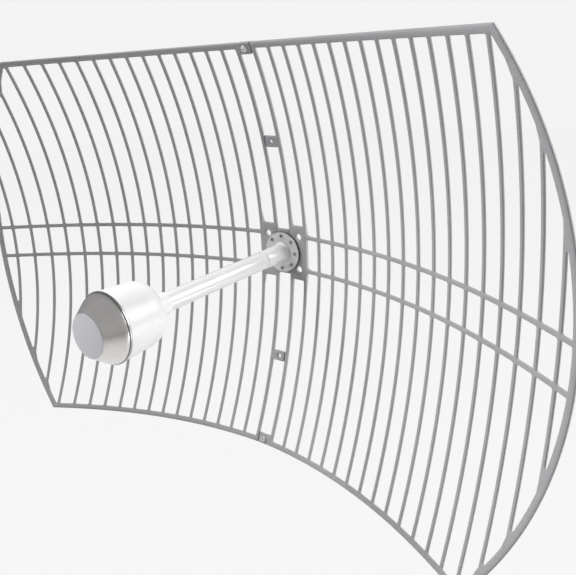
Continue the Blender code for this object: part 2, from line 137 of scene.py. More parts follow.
# %% Sizes of the reflector
GAP = 0.0003
REFLECTOR = {
    "Focal length": 0.313,
    "Crease slope": 0.0272,
    "Vertex Y": -0.0032,
    "Half height": 0.300,
    "End arc centre": -0.036,
    "End arc radius": 0.520,
    "Rim width": 0.0090,
    "Side rim width": 0.0086,
    "Bar pitch": 0.0262,
    "First bar": 0.01385,
    "Bar width": 0.0052,
    "Bar depth": 0.0029,
    "First bar width": 0.0056,
    "First bar depth": 0.0037,
    "Edge radius": 0.0010,
    "Window fillet": 0.0020,
    "Rib offset": 0.0255,
    "Rib width": 0.0058,
    "Pad half height": 0.0410,
    "Pad outer edge": 0.0427,
    "Pad blend": 0.010,
    "Mast hole X": 0.0283,
    "Mast hole Z": 0.0250,
    "Mast hole radius": 0.0048,
}
BARS_PER_HALF = 18
INNER_EDGE_X = REFLECTOR["First bar"] - REFLECTOR["First bar width"] / 2
HALF_HEIGHT = REFLECTOR["Half height"]
print("reflector:", round(2000 * HALF_HEIGHT), "mm high,", 2 * BARS_PER_HALF, "bars")


def surface_point(z):
    """The front of the reflector on the centre line. It is level in x across the gap."""
    dip = z * z / (4 * REFLECTOR["Focal length"])
    lean = REFLECTOR["Crease slope"] * INNER_EDGE_X
    return Vector((0.0, REFLECTOR["Vertex Y"] - dip - lean, z))


def surface_back(z):
    """The direction straight through the reflector there, from front to back."""
    return Vector((0.0, 1.0, z / (2 * REFLECTOR["Focal length"]))).normalized()


# %% [markdown]
# The paint on the casting
#
# The casting is sprayed in a satin grey. Close up such paint is never one colour: it has a fine
# orange-peel skin over the slightly rough casting, and years outdoors leave paler and darker
# patches. Noise gives this: the largest shifts the tone, a middle one the roughness, and the
# finest ones the bump.

# %% Paint and metal
def principled(name, constants):
    """A material with one Principled shader, with the values that are the same all over."""
    material = bpy.data.materials.new(name)
    material.use_nodes = True
    shader = material.node_tree.nodes["Principled BSDF"]
    for socket, value in constants.items():
        shader.inputs[socket].default_value = value
    return material, Board(material.node_tree), shader


def noise(board, scale, detail=3.0, stretch=(1.0, 1.0, 1.0)):
    place = board.node("ShaderNodeTexCoord")["Object"]
    place = board.node("ShaderNodeMapping", {}, {"Vector": place, "Scale": stretch})
    values = {"Vector": place, "Scale": scale, "Detail": detail}
    return board.node("ShaderNodeTexNoise", {}, values)["Fac"]


def blend(board, factor, first, second):
    values = {"Factor": factor, "A": (*first, 1.0), "B": (*second, 1.0)}
    return board.node("ShaderNodeMix", {"data_type": "RGBA"}, values)


def feed(board, shader, socket, wire):
    board.tree.links.new(wire.socket, shader.inputs[socket])


def dress(board, shader, color, roughness, height, strength, distance):
    """Feed a shader its colour, its roughness and its bump."""
    feed(board, shader, "Base Color", color)
    feed(board, shader, "Roughness", roughness)
    values = {"Height": height, "Strength": strength, "Distance": distance}
    feed(board, shader, "Normal", board.node("ShaderNodeBump", {}, values)["Normal"])


def make_casting_paint():
    material, board, shader = principled("casting_paint", {"Specular IOR Level": 0.4})
    patches = noise(board, 9.0, 4.0)
    grains = noise(board, 900.0, 2.0)
    tone = ((patches - 0.5) * 1.6 + (grains - 0.5) * 0.5 + 0.5).within(0.0, 1.0)
    color = blend(board, tone, (0.305, 0.308, 0.318), (0.357, 0.359, 0.367))
    height = grains + noise(board, 260.0) * 1.5
    dress(board, shader, color, 0.46 + noise(board, 60.0) * 0.16, height, 0.25, 0.0002)
    return material


casting_paint = make_casting_paint()
print("made", casting_paint.name)

# %% [markdown]
# The reflector as one rule
#
# Each half is one casting: a frame with windows in it, and the bars are what is left between
# the windows. Modelling 53 windows by hand would be slow, and none of them would line up.
# Since every window follows from the number of its bar and its row, Geometry Nodes makes them
# all from one formula. The casting is drawn flat, with its depth along Z. The walls of the
# windows are strips of quads in eight levels, which gives every bar its rounded edges, the
# faces are filled between the loops, and the last node bends the flat casting into the dish.

# %% A tree with named inputs
SHARP_ANGLE = math.radians(35)
# Points nearer than this are one point, in the casting and in the small pieces
DOUBLES = 1e-5
SMALL_DOUBLES = 1e-6
SOCKETS = {float: "NodeSocketFloat", int: "NodeSocketInt", bpy.types.Object: "NodeSocketObject"}


def new_geometry_tree(name, values):
    """A Geometry Nodes tree with one named input for each value."""
    tree = bpy.data.node_groups.new(name, "GeometryNodeTree")
    for label, value in values.items():
        kind = SOCKETS[type(value)]
        tree.interface.new_socket(name=label, in_out="INPUT", socket_type=kind)
    tree.interface.new_socket(name="Geometry", in_out="OUTPUT", socket_type="NodeSocketGeometry")
    board = Board(tree)
    return board, board.node("NodeGroupInput")


def close_tree(board, shape, material):
    """End a tree in Realize Instances and Set Material."""
    shape = board.node("GeometryNodeRealizeInstances", {}, {"Geometry": shape})
    shape = board.node("GeometryNodeSetMaterial", {}, {"Geometry": shape, "Material": material})
    board.node("NodeGroupOutput", {}, {"Geometry": shape})


def add_object(name, data):
    made = bpy.data.objects.new(name, data)
    scene.collection.objects.link(made)
    return made


def clean_mesh(name, mesh, doubles):
    """Merge what lies together, turn every face outwards and smooth all but the sharp edges."""
    work = bmesh.new()
    work.from_mesh(mesh)
    bmesh.ops.remove_doubles(work, verts=work.verts, dist=doubles)
    bmesh.ops.dissolve_degenerate(work, dist=doubles / 2, edges=work.edges)
    bmesh.ops.recalc_face_normals(work, faces=work.faces)
    open_edges = sum(1 for edge in work.edges if len(edge.link_faces) != 2)
    work.to_mesh(mesh)
    work.free()
    mesh.shade_smooth()
    mesh.set_sharp_from_angle(angle=SHARP_ANGLE)
    print(name, len(mesh.polygons), "faces,", open_edges, "open edges")


def grow(name, tree, values):
    """Run a tree on an empty object and keep what it makes as a plain mesh."""
    piece = add_object(name, bpy.data.meshes.new(name))
    modifier = piece.modifiers.new("Nodes", "NODES")
    modifier.node_group = tree
    for item in tree.interface.items_tree:
        if item.in_out == "INPUT":
            modifier[item.identifier] = values[item.name]
    evaluated = piece.evaluated_get(bpy.context.evaluated_depsgraph_get())
    mesh = bpy.data.meshes.new_from_object(evaluated)
    piece.modifiers.remove(modifier)
    piece.data = mesh
    mesh.name = name
    clean_mesh(name, mesh, DOUBLES)
    return piece


# %% The levels of an edge
EDGE_TURNS = [math.radians(30 * step) for step in (0, 1, 2, 3, 3, 2, 1, 0)]
EDGE = {
    "grow": [1 - math.sin(turn) for turn in EDGE_TURNS],
    "sink": [1 - math.cos(turn) for turn in EDGE_TURNS],
    "back": [0, 0, 0, 0, 1, 1, 1, 1],
}
# The rim's outer edge: how far it is from the outline, and how far straight back
LIP_INSET = [0.0050, 0.0037, 0.0024, 0.0012, 0.0004, 0.0, 0.0, 0.0004, 0.0036, 0.0040, 0.0040]
LIP_SINK = [0.0, 0.00012, 0.00048, 0.0012, 0.0023, 0.0035, 0.0048, 0.0052, 0.0052, 0.0048, 0.0]
# The inner edge of a half keeps a bar's section, with as many levels
JOINT_LEVELS = [0, 1, 2, 3, 3, 4, 4, 5, 6, 7, 7]
JOINT_EDGE = {key: [numbers[level] for level in JOINT_LEVELS] for key, numbers in EDGE.items()}
LAST_LIP = len(LIP_INSET) - 1
AT_LIP_END = [0.0] * LAST_LIP + [1.0]
LAST_EDGE = len(EDGE_TURNS) - 1
WINDOW_ROWS = 3
WINDOW_CORNER = 6
WINDOW_SIDE = 15
WINDOW_QUARTER = WINDOW_CORNER + WINDOW_SIDE
RIM_STEPS = 40
ARC_STEPS = 48
JOINT_STEPS = 50
HOLE_STEPS = 32
# The window that the pad of the hub takes up: middle row, next to the first bar
HUB_WINDOW = 1
# Where a window's outer corner is cut off, in fillets, and its largest fillet, in half widths
BLUNT_CORNER = 1.2
WIDEST_FILLET = 0.45
# The first bar's depth ends this far beyond its edge, and changes over the second length
DEEP_MARGIN = 0.0006
DEEP_CHANGE = 0.004


def split_position(board):
    spot = board.node("GeometryNodeInputPosition")
    parts = board.node("ShaderNodeSeparateXYZ", {}, {"Vector": spot})
    return parts["X"], parts["Y"], parts["Z"]


def place(board, shape, x, y, z):
    spot = board.node("ShaderNodeCombineXYZ", {}, {"X": x, "Y": y, "Z": z})
    return board.node("GeometryNodeSetPosition", {}, {"Geometry": shape, "Position": spot})


def delete(board, shape, chosen, domain, mode):
    settings = {"domain": domain, "mode": mode}
    values = {"Geometry": shape, "Selection": chosen}
    return board.node("GeometryNodeDeleteGeometry", settings, values)


class Loops:
    """Groups of loops on several levels, with a flat sheet of quads for each group.

    group, level and step tell each point which one it is."""

    def __init__(self, board, sizes, groups, levels, steps):
        self.board = board
        self.sizes = sizes
        self.levels = levels
        count = len(levels)
        points = steps + 1
        if count == 1:
            sheet = board.node("GeometryNodeMeshLine", {}, {"Count": groups * points})
        else:
            values = {"Vertices X": count * groups, "Vertices Y": points}
            sheet = board.node("GeometryNodeMeshGrid", {}, values)["Mesh"]
        index = board.node("GeometryNodeInputIndex")
        column = index.whole(points)
        self.step = index - column * points
        self.group = column.whole(count)
        self.level = column - self.group * count
        ends = board.node("GeometryNodeInputMeshEdgeVertices")
        first = ends["Vertex Index 1"].whole(count * points)
        second = ends["Vertex Index 2"].whole(count * points)
        self.sheet = delete(board, sheet, abs(first - second) > 0.5, "EDGE", "EDGE_FACE")

    def choose(self, numbers):
        """The number that belongs to each point's level."""
        values = {str(place): numbers[level] for place, level in enumerate(self.levels)}
        settings = {"data_type": "FLOAT", "entries": len(values)}
        return self.board.node("GeometryNodeIndexSwitch", settings, {"Index": self.level, **values})

    def edge_growth(self, edge):
        """How far a loop stands out of its hole at each level of a rounded edge."""
        return self.sizes["Edge radius"] * self.choose(edge["grow"])

    def edge_depth(self, edge, x):
        """Depth of a rounded edge: near the front, or near the back of the bar."""
        sink = self.sizes["Edge radius"] * self.choose(edge["sink"])
        back = self.choose(edge["back"])
        return back * (bar_depth(self.sizes, x) - sink) + (1 - back) * sink

    def draw(self, x, z, depth, straight=0.0):
        """Put the points in place, and keep how far each goes straight back."""
        values = {"Geometry": self.sheet, "Name": "straight", "Value": straight}
        sheet = self.board.node("GeometryNodeStoreNamedAttribute", {}, values)
        return place(self.board, sheet, x, z, depth)


# %% [markdown]
# Three kinds of loop
#
# A window is a rounded rectangle, cut off by the arc at the end of the dish where it reaches
# it. The outline has straight rims with a lip that turns back, an arc, and a plain inner edge
# at the joint. The mast holes are circles. Each function draws its loops at any set of
# levels, so the same lines make the walls and the borders of the filled faces.

# %% Loops of the casting
def half_slope(sizes, x):
    return x / (2 * sizes["Focal length"]) + sizes["Crease slope"]


def inner_edge(sizes):
    return sizes["First bar"] - sizes["First bar width"] / 2


def bar_depth(sizes, x):
    """The first bar is deeper than the others."""
    edge = sizes["First bar"] + sizes["First bar width"] / 2
    first = 1 - ((x - edge - DEEP_MARGIN) / DEEP_CHANGE).within(0.0, 1.0)
    return sizes["Bar depth"] + (sizes["First bar depth"] - sizes["Bar depth"]) * first


def arc_height(sizes, away, inset):
    """How far the end arc lies from its centre one way, from how far it lies the other way."""
    reach = sizes["End arc radius"] - inset
    return (reach * reach - away * away).at_least(0.0).root()


def arc_x(sizes, z, inset):
    return sizes["End arc centre"] + arc_height(sizes, z, inset)


def half_bar(sizes, x):
    """Half the width of the bar at x, as seen along Y."""
    slope = half_slope(sizes, x)
    return sizes["Bar width"] / 2 / (1 + slope * slope).root()


def window_places(sizes, loops):
    number = loops.group.whole(WINDOW_ROWS)
    row = loops.group - number * WINDOW_ROWS - 1
    first = number < 0.5
    last = number > BARS_PER_HALF - 1.5
    bar = sizes["First bar"] + number * sizes["Bar pitch"]
    half = half_bar(sizes, bar)
    left = bar + half + first * (sizes["First bar width"] / 2 - half)
    next_bar = bar + sizes["Bar pitch"]
    right = next_bar - half_bar(sizes, next_bar)
    right = right + last * (arc_x(sizes, 0.0, sizes["Side rim width"]) - right)
    rib_top = sizes["Rib offset"] + sizes["Rib width"] / 2
    rib_low = sizes["Rib offset"] - sizes["Rib width"] / 2
    low = rib_top + first * (sizes["Pad half height"] - rib_top)
    rim = sizes["Half height"] - sizes["Rim width"]
    blunt = left + BLUNT_CORNER * sizes["Window fillet"] - sizes["End arc centre"]
    high = arc_height(sizes, blunt, sizes["Side rim width"]).at_most(rim)
    centre_z = row * (low + high) / 2
    half_z = rib_low + abs(row) * ((high - low) / 2 - rib_low)
    centre_x = (left + right) / 2
    half_x = (right - left) / 2
    fillet = (half_x * WIDEST_FILLET).at_most(sizes["Window fillet"])
    grown = loops.edge_growth(EDGE)
    corner = loops.step.whole(WINDOW_QUARTER).at_most(3.0)
    rest = loops.step - corner * WINDOW_QUARTER
    turn = (corner + (rest / WINDOW_CORNER).at_most(1.0)) * (math.pi / 2)
    along = corner + ((rest - WINDOW_CORNER) / WINDOW_SIDE).within(0.0, 1.0)
    side_x = (abs(along - 1.5) * 2 - 2).within(-1.0, 1.0)
    side_z = (abs(along - 2.5) * 2 - 2).within(-1.0, 1.0)
    x = centre_x + side_x * (half_x - fillet) + (fillet + grown) * turn.cosine()
    z = centre_z + side_z * (half_z - fillet) + (fillet + grown) * turn.sine()
    x = x.at_most(arc_x(sizes, z, sizes["Side rim width"] - grown))
    return x, z, loops.edge_depth(EDGE, x)


def outline_places(sizes, loops):
    step = loops.step
    inset = loops.choose(LIP_INSET)
    is_last = loops.choose(AT_LIP_END)
    rim = (step / RIM_STEPS).at_most(1.0)
    arc = ((step - RIM_STEPS) / ARC_STEPS).within(0.0, 1.0)
    back_rim = ((step - RIM_STEPS - ARC_STEPS) / RIM_STEPS).within(0.0, 1.0)
    down = ((step - 2 * RIM_STEPS - ARC_STEPS) / JOINT_STEPS).within(0.0, 1.0)
    edge = sizes["Half height"] - inset
    inner = inner_edge(sizes) + loops.edge_growth(JOINT_EDGE)
    x = inner + (arc_x(sizes, edge * (2 * arc - 1), inset) - inner) * rim * (1 - back_rim)
    z = edge * (2 * arc - 1 - 2 * down)
    on_joint = (down > 0.001) * (down < 0.999)
    rim_depth = is_last * bar_depth(sizes, x)
    depth = rim_depth + on_joint * (loops.edge_depth(JOINT_EDGE, x) - rim_depth)
    return x, z, depth, loops.choose(LIP_SINK) * (1 - on_joint)


def hole_places(sizes, loops):
    turn = loops.step * (math.tau / HOLE_STEPS)
    radius = sizes["Mast hole radius"] + loops.edge_growth(EDGE)
    x = sizes["Mast hole X"] + radius * turn.cosine()
    z = sizes["Mast hole Z"] * (loops.group * 2 - 1) + radius * turn.sine()
    return x, z, loops.edge_depth(EDGE, x)


def casting_sheets(board, sizes, edge_levels, lip_levels):
    """The windows, the holes and the outline at some levels, flat."""
    loops = Loops(board, sizes, WINDOW_ROWS * BARS_PER_HALF, edge_levels, 4 * WINDOW_QUARTER)
    windows = loops.draw(*window_places(sizes, loops))
    windows = delete(board, windows, abs(loops.group - HUB_WINDOW) < 0.5, "POINT", "ALL")
    loops = Loops(board, sizes, 2, edge_levels, HOLE_STEPS)
    holes = loops.draw(*hole_places(sizes, loops))
    loops = Loops(board, sizes, 1, lip_levels, 2 * RIM_STEPS + ARC_STEPS + JOINT_STEPS)
    return [windows, holes, loops.draw(*outline_places(sizes, loops))]


def join(board, shapes):
    made = board.node("GeometryNodeJoinGeometry")
    for shape in reversed(shapes):
        board.tree.links.new(shape.socket, made.socket.node.inputs["Geometry"])
    return made


def merge(board, shape):
    return board.node("GeometryNodeMergeByDistance", {}, {"Geometry": shape, "Distance": DOUBLES})


def filled_face(board, sizes, edge_level, lip_level):
    """The face between the outline and its holes, at the front or at the back level."""
    loops = merge(board, join(board, casting_sheets(board, sizes, [edge_level], [lip_level])))
    x, z, _ = split_position(board)
    loops = place(board, loops, x, z, 0.0)
    curves = board.node("GeometryNodeMeshToCurve", {}, {"Mesh": loops})
    face = board.node("GeometryNodeFillCurve", {"mode": "TRIANGLES"}, {"Curve": curves})
    x, z, _ = split_position(board)
    return place(board, face, x, z, bar_depth(sizes, x) if edge_level else 0.0)


# %% [markdown]
# Bending the flat casting
#
# A point of the flat casting has a place across, a height and a depth. The place on the
# surface comes from the dish's formula, and the depth goes along the surface's own normal, so
# a bar keeps its section all over. The lip goes straight back instead, as a die must draw off
# the casting. Around the hub the casting grows deeper until its back is the flat of a pad.

# %% Bend and finish
def smooth(share):
    """A share of 0 to 1 that starts and ends gently."""
    return share * share * (3 - 2 * share)


def bend(board, sizes, shape):
    x, z, depth = split_position(board)
    focal = sizes["Focal length"]
    slope_x = half_slope(sizes, x)
    slope_z = z / (2 * focal)
    reach = depth / (1 + slope_x * slope_x + slope_z * slope_z).root()
    dip = (x * x + z * z) / (4 * focal)
    front = sizes["Vertex Y"] - dip - sizes["Crease slope"] * x.at_least(inner_edge(sizes))
    straight = board.node("GeometryNodeInputNamedAttribute", {}, {"Name": "straight"})
    out_x = (x - sizes["Pad outer edge"]).at_least(0.0)
    out_z = (abs(z) - sizes["Pad half height"]).at_least(0.0)
    away = ((out_x * out_x + out_z * out_z).root() / sizes["Pad blend"]).at_most(1.0)
    curved = smooth(away)
    bar = bar_depth(sizes, x)
    from_back = (depth > bar / 2) * (0 - front - bar)
    y = front + curved * (reach + straight) + (1 - curved) * (depth + from_back)
    across = sizes["Side"] * (x + curved * reach * slope_x)
    return place(board, shape, across, y, z + curved * reach * slope_z)


def make_reflector_tree(values, material):
    board, sizes = new_geometry_tree("Cast grid half", values)
    walls = casting_sheets(board, sizes, list(range(LAST_EDGE + 1)), list(range(LAST_LIP + 1)))
    front = filled_face(board, sizes, 0, 0)
    back = filled_face(board, sizes, LAST_EDGE, LAST_LIP)
    shape = bend(board, sizes, join(board, walls + [front, back]))
    close_tree(board, merge(board, shape), material)
    print("reflector tree:", len(board.tree.nodes), "nodes")
    return board.tree


left_values = dict(REFLECTOR, Side=-1.0)
reflector_tree = make_reflector_tree(left_values, casting_paint)
grid_left = grow("Grid_left", reflector_tree, left_values)
grid_right = grow("Grid_right", reflector_tree, dict(left_values, Side=1.0))

# %% [markdown]
# Edges of the small pieces
#
# Nothing that comes out of a die or off a press has a razor edge, and the light catches every
# rounded one as a thin line. The flat pieces share one recipe: a loop for the outline and one
# for each hole, repeated at the eight levels of a rounded edge, joined by quads and filled at
# the front and the back. The turned pieces share another: a profile with softened corners,
# spun about the axis.

# %% Loops and plates
# How much of a hexagon's corner is left by its rounding
HEX_CORNER = 0.985
# Each shape below gives a function that draws its loop, larger by what it is given


def circle(x, z, radius, steps):
    def at(grown):
        turns = [math.tau * step / steps for step in range(steps)]
        reach = radius + grown
        return [(x + reach * math.cos(t), z + reach * math.sin(t)) for t in turns]
    return at


def rounded(x, z, half_x, half_z, radius, steps=5):
    def at(grown):
        points = []
        for quarter, (side_x, side_z) in enumerate([(1, 1), (-1, 1), (-1, -1), (1, -1)]):
            for step in range(steps + 1):
                turn = (quarter + step / steps) * math.pi / 2
                reach = radius + grown
                points.append((x + side_x * (half_x - radius) + reach * math.cos(turn),
                               z + side_z * (half_z - radius) + reach * math.sin(turn)))
        return points
    return at


def hexagon(x, z, radius, steps=6):
    """Its corners are slightly rounded, and radius is to a corner."""
    def at(grown):
        corner = (radius + grown) * HEX_CORNER
        flat = (radius + grown) * math.cos(math.pi / 6)
        points = []
        for step in range(6 * steps):
            turn = math.tau * step / (6 * steps)
            reach = min(flat / math.cos((turn % (math.pi / 3)) - math.pi / 6), corner)
            turn += math.pi / 6
            points.append((x + reach * math.sin(turn), z + reach * math.cos(turn)))
        return points
    return at


def join_rings(work, near, far):
    """Quads between two rings of points. A ring of one point makes them triangles."""
    sides = max(len(near), len(far))
    for side in range(sides):
        after = (side + 1) % sides
        corners = [near[side % len(near)], near[after % len(near)],
                   far[after % len(far)], far[side % len(far)]]
        work.faces.new(list(dict.fromkeys(corners)))


def ring_edges(work, ring):
    return [work.edges.get(pair) for pair in zip(ring, ring[1:] + ring[:1])]


def straight_spot(x, z, depth):
    return Vector((x, depth, z))


def add_plate(work, outer, holes, front, back, edge, spot=straight_spot):
    """A plate with rounded edges. spot(x, z, depth) gives the place of a point."""
    borders = ([], [])
    for loop_at, sign in [(outer, -1)] + [(hole, 1) for hole in holes]:
        rings = []
        for grown, sink, is_back in zip(*EDGE.values()):
            depth = back - edge * sink if is_back else front + edge * sink
            loop = loop_at(sign * edge * grown)
            rings.append([work.verts.new(spot(x, z, depth)) for x, z in loop])
        for near, far in zip(rings, rings[1:]):
            join_rings(work, near, far)
        borders[0].extend(ring_edges(work, rings[0]))
        borders[1].extend(ring_edges(work, rings[-1]))
    for border in borders:
        bmesh.ops.triangle_fill(work, use_beauty=True, edges=border)


def finish_piece(name, work, material):
    """Turn a bmesh into a piece with its faces outwards and its material."""
    mesh = bpy.data.meshes.new(name)
    work.to_mesh(mesh)
    work.free()
    clean_mesh(name, mesh, SMALL_DOUBLES)
    mesh.materials.append(material)
    return add_object(name, mesh)


# %% Profiles and spins
# The most of a profile's side that the rounding of one corner may take
CORNER_SHARE = 0.48
ON_AXIS = 1e-7


def soften(points, radius, steps=4):
    """Round each inner corner of a profile by a radius, or by its own third number."""
    made = [Vector(points[0][:2])]
    for before, corner, after in zip(points, points[1:], points[2:]):
        here = Vector(corner[:2])
        wanted = corner[2] if len(corner) > 2 else radius
        back = Vector(before[:2]) - here
        ahead = Vector(after[:2]) - here
        reach = min(wanted, back.length * CORNER_SHARE, ahead.length * CORNER_SHARE)
        start = here + back.normalized() * reach
        end = here + ahead.normalized() * reach
        for step in range(steps + 1):
            t = step / steps
            made.append(start * (1 - t) ** 2 + here * 2 * t * (1 - t) + end * t ** 2)
    made.append(Vector(points[-1][:2]))
    return made


def level_axis(y):
    return Vector((0.0, y, 0.0))


def add_spin(work, profile, sides, axis, radius_at=None):
    """Spin a profile of (y, radius) about an axis. A radius of zero closes it in a point."""
    rings = []
    for y, radius in profile:
        ring = []
        for side in range(1 if radius < ON_AXIS else sides):
            turn = math.tau * side / sides
            reach = radius if radius_at is None else radius_at(y, radius, turn)
            out = Vector((reach * math.cos(turn), 0, reach * math.sin(turn)))
            ring.append(work.verts.new(axis(y) + out))
        rings.append(ring)
    for near, far in zip(rings, rings[1:]):
        join_rings(work, near, far)
    return rings


def spin_piece(name, points, radius, material, sides, axis):
    """Spin a profile that starts and ends on the axis, with its corners softened."""
    work = bmesh.new()
    points = [(points[0][0], 0.0), *points, (points[-1][0], 0.0)]
    add_spin(work, soften(points, radius), sides, axis)
    return finish_piece(name, work, material)


# %% [markdown]
# The tabs that join the halves
#
# The two castings touch only at tabs: each half sends four across the gap, and at each place
# one half lies in front and the other behind. The pair at the top and the pair at the bottom
# are bolted, and the pairs between them have an empty hole. The tabs are small plates laid on
# the dish's own surface, and they run on over the first bar, as a cast boss does.

# %% Tabs
TAB_REACH = 0.0095
TAB_ROOT_X = 0.0150
TAB_FRONT = (-0.00015, 0.0022)
TAB_BACK = (0.0025, 0.0046)
TAB_EDGE = 0.0005
TAB_CORNER = 0.0018
RIM_TAB_Z = HALF_HEIGHT - 0.0080
RIM_TAB_MIDDLE = RIM_TAB_Z - 0.0007
LUG_Z = 0.1645
# Height of the hole, height of the tab's middle, half the tab's height, radius of the hole
TAB_ROWS = {
    "top": (RIM_TAB_Z, RIM_TAB_MIDDLE, 0.0072, 0.0031),
    "upper": (LUG_Z, LUG_Z, 0.0075, 0.0032),
    "lower": (-LUG_Z, -LUG_Z, 0.0075, 0.0032),
    "bottom": (-RIM_TAB_Z, -RIM_TAB_MIDDLE, 0.0072, 0.0031),
}


def make_tabs(name, side, front_rows):
    """The four tabs of a half. side is -1 on the left and 1 on the right."""
    def spot(x, z, depth):
        on_front = surface_point(z) + surface_back(z) * depth
        return on_front + Vector((side * x, 0.0, 0.0))

    work = bmesh.new()
    middle = (TAB_ROOT_X - TAB_REACH) / 2
    half_width = (TAB_ROOT_X + TAB_REACH) / 2
    for row, (hole_z, middle_z, half_z, radius) in TAB_ROWS.items():
        front, back = TAB_FRONT if row in front_rows else TAB_BACK
        outline = rounded(middle, middle_z, half_width, half_z, TAB_CORNER)
        hole = circle(0.0, hole_z, radius, 32)
        add_plate(work, outline, [hole], front, back, TAB_EDGE, spot)
    return finish_piece(name, work, casting_paint)


tabs_left = make_tabs("Tabs_left", -1, ("top", "lower"))
tabs_right = make_tabs("Tabs_right", 1, ("upper", "bottom"))

# %% [markdown]
# Finishes of the feed
#
# The flange is satin aluminium, dulled by weather, the tube is painted white, the drum is a satin
# white plastic, and the cap at its end is spun and polished, so it mirrors the room: dark
# where it looks up, and bright where it looks down. Each finish gets its own fine grain,
# because a perfectly even surface looks like a drawing. The grain is in Object coordinates,
# so it stays on the piece.

# %% Paints, plastics and platings
def make_enamel(name, light, dark, roughness, skin, coat=0.15):
    """A sprayed paint or a plastic: two close tones, a little dirt, and a fine skin."""
    constants = {"Coat Weight": coat, "Coat Roughness": 0.06}
    material, board, shader = principled(name, constants)
    patches = (noise(board, 14.0, 4.0) * 1.8 - 0.4).within(0.0, 1.0)
    roughness = roughness + noise(board, 90.0) * 0.10
    color = blend(board, patches, dark, light)
    dress(board, shader, color, roughness, noise(board, skin, 2.0), 0.12, 0.0001)
    return material


def make_plated(name, light, dark, roughness, brushed, metallic=1.0):
    """A plated or polished metal. brushed stretches its grain along or around the piece."""
    material, board, shader = principled(name, {"Metallic": metallic})
    grain = noise(board, 700.0, 3.0, brushed)
    stains = (noise(board, 45.0, 4.0) * 2.0 - 0.5).within(0.0, 1.0)
    roughness = roughness + grain * 0.12 + stains * 0.06
    dress(board, shader, blend(board, stains, dark, light), roughness, grain, 0.08, 0.00005)
    return material


def make_rubber():
    material, board, shader = principled("rubber", {"Specular IOR Level": 0.3})
    color = blend(board, noise(board, 120.0), (0.018, 0.018, 0.019), (0.04, 0.04, 0.041))
    roughness = 0.6 + noise(board, 300.0) * 0.2
    dress(board, shader, color, roughness, noise(board, 1500.0), 0.3, 0.0001)
    return material


EVEN = (1.0, 1.0, 1.0)
AROUND = (1.0, 18.0, 1.0)
flange_metal = make_plated("flange_metal", (0.75, 0.75, 0.76), (0.66, 0.66, 0.67), 0.42, EVEN, 0.5)
tube_paint = make_enamel("tube_paint", (0.76, 0.76, 0.77), (0.71, 0.71, 0.72), 0.20, 500.0, 0.8)
white_plastic = make_enamel("white_plastic", (0.81, 0.81, 0.82), (0.78, 0.78, 0.79), 0.30, 380.0)
disc_plastic = make_enamel("disc_plastic", (0.64, 0.64, 0.68), (0.60, 0.60, 0.64), 0.42, 420.0)
cap_metal = make_plated("cap_metal", (0.81, 0.79, 0.78), (0.73, 0.71, 0.70), 0.17, AROUND)
rim_metal = make_plated("rim_metal", (0.45, 0.44, 0.43), (0.36, 0.36, 0.35), 0.25, AROUND)
zinc_plate = make_plated("zinc_plate", (0.80, 0.80, 0.80), (0.62, 0.62, 0.60), 0.22, EVEN, 0.5)
plain_steel = make_plated("plain_steel", (0.42, 0.41, 0.40), (0.31, 0.30, 0.29), 0.24, EVEN)
nickel_plate = make_plated("nickel_plate", (0.72, 0.69, 0.62), (0.58, 0.55, 0.50), 0.20, EVEN)
rubber = make_rubber()
print("finishes:", len(bpy.data.materials))

# %% [markdown]
# The hub
#
# A bridge plate closes the gap between the pads. On it lie a rubber gasket and the flange that
# carries the whole feed, held by eight small steel screws. Only the back of the bridge plate is
# stepped, where the nut of the inlet seats.

# %% Bridge plate, gasket and flange
BRIDGE_FRONT_Y = -0.0048
BRIDGE_HALF_WIDTH = INNER_EDGE_X - GAP
BRIDGE_HALF_HEIGHT = 0.0340
BRIDGE_STEP_Z = -0.0070
BRIDGE_STEP_Y = -0.0012
BRIDGE_LAP = 0.0010
BRIDGE_INSET = 0.00005
FEED_Z = -0.0007
GASKET_BACK_Y = BRIDGE_FRONT_Y - GAP
GASKET_FRONT_Y = GASKET_BACK_Y - 0.0015
FLANGE_BACK_Y = GASKET_FRONT_Y - GAP
FLANGE_FRONT_Y = FLANGE_BACK_Y - 0.0024
FLANGE_RADIUS = 0.0303
GASKET_RADIUS = 0.0307
SCREW_COUNT = 8
SCREW_CIRCLE = 0.0248
SCREW_HOLE = 0.0018


def make_bridge():
    """Two plates that lap. The upper one reaches to the back, the lower one to the step."""
    work = bmesh.new()
    for top, bottom, inset, back in ((BRIDGE_HALF_HEIGHT, BRIDGE_STEP_Z, 0.0, 0.0),
                                     (BRIDGE_STEP_Z + BRIDGE_LAP, -BRIDGE_HALF_HEIGHT,
                                      BRIDGE_INSET, BRIDGE_STEP_Y)):
        half_width = BRIDGE_HALF_WIDTH - inset
        outline = rounded(0.0, (top + bottom) / 2, half_width, (top - bottom) / 2, 0.0006)
        add_plate(work, outline, [], BRIDGE_FRONT_Y + inset, back, 0.0004)
    return finish_piece("Hub_bridge", work, casting_paint)


def make_disc(name, radius, front, back, edge, material):
    """A round plate with the holes of the screws."""
    holes = []
    for turn in [math.tau * number / SCREW_COUNT for number in range(SCREW_COUNT)]:
        x = SCREW_CIRCLE * math.cos(turn)
        z = FEED_Z + SCREW_CIRCLE * math.sin(turn)
        holes.append(circle(x, z, SCREW_HOLE, 20))
    work = bmesh.new()
    add_plate(work, circle(0.0, FEED_Z, radius, 96), holes, front, back, edge)
    return finish_piece(name, work, material)


bridge = make_bridge()
gasket = make_disc("Flange_gasket", GASKET_RADIUS, GASKET_FRONT_Y, GASKET_BACK_Y, 0.0003, rubber)
flange = make_disc("Flange_disc", FLANGE_RADIUS, FLANGE_FRONT_Y, FLANGE_BACK_Y, 0.0005, flange_metal)

